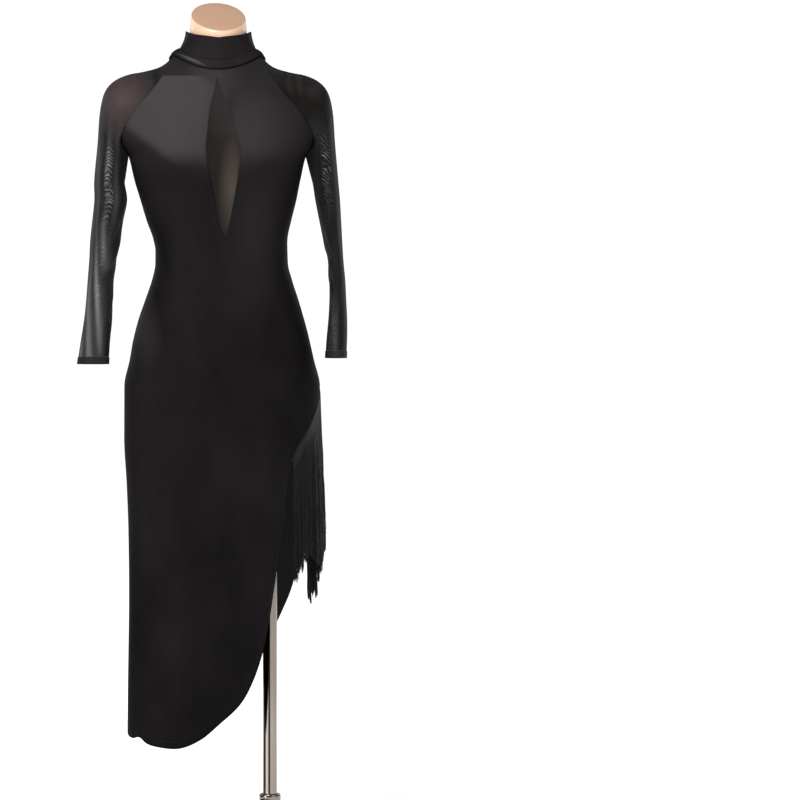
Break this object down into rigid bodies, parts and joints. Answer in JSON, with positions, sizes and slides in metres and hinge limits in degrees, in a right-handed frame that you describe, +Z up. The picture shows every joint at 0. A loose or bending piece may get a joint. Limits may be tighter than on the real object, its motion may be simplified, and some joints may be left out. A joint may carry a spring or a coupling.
{
  "type": "ballroom dance dress on a dress form",
  "caption": "Close-fitting long dance dress with raglan net sleeves, keyholes, folded collar and a fringed side slit, worn by a limbless dress form on a floor stand.",
  "frame": {"origin": "middle of the base plate's underside, on the floor", "axes": "+Z up, -Y out of the dress's front, +X towards the wearer's left"},
  "size_m": [0.4764, 0.35, 1.516],
  "materials": {
    "velvet": "black velvety stretch cloth with a soft sheen",
    "net": "black see-through stretch net",
    "band": "black opaque band",
    "fringe": "black twisted threads",
    "bead": "glossy black bead",
    "form": "smooth skin-tone plastic",
    "chrome": "polished tube and plate"
  },
  "bodies": {
    "root": {"front_panel": "velvet", "back_panel": "velvet", "front_keyhole_net": "net", "sleeve_right": "net", "sleeve_left": "net", "cuff_right": "band", "cuff_left": "band", "keyhole_binding": "band", "collar_band": "velvet", "collar_fold": "velvet", "fringe_front": "fringe", "fringe_back": "fringe", "button_top": "bead", "button_middle": "bead", "button_keyhole": "bead", "dress_form": "form", "pole_socket": "chrome", "pole": "chrome", "pole_ferrule": "chrome", "base_plate": "chrome"}
  },
  "joints": []
}
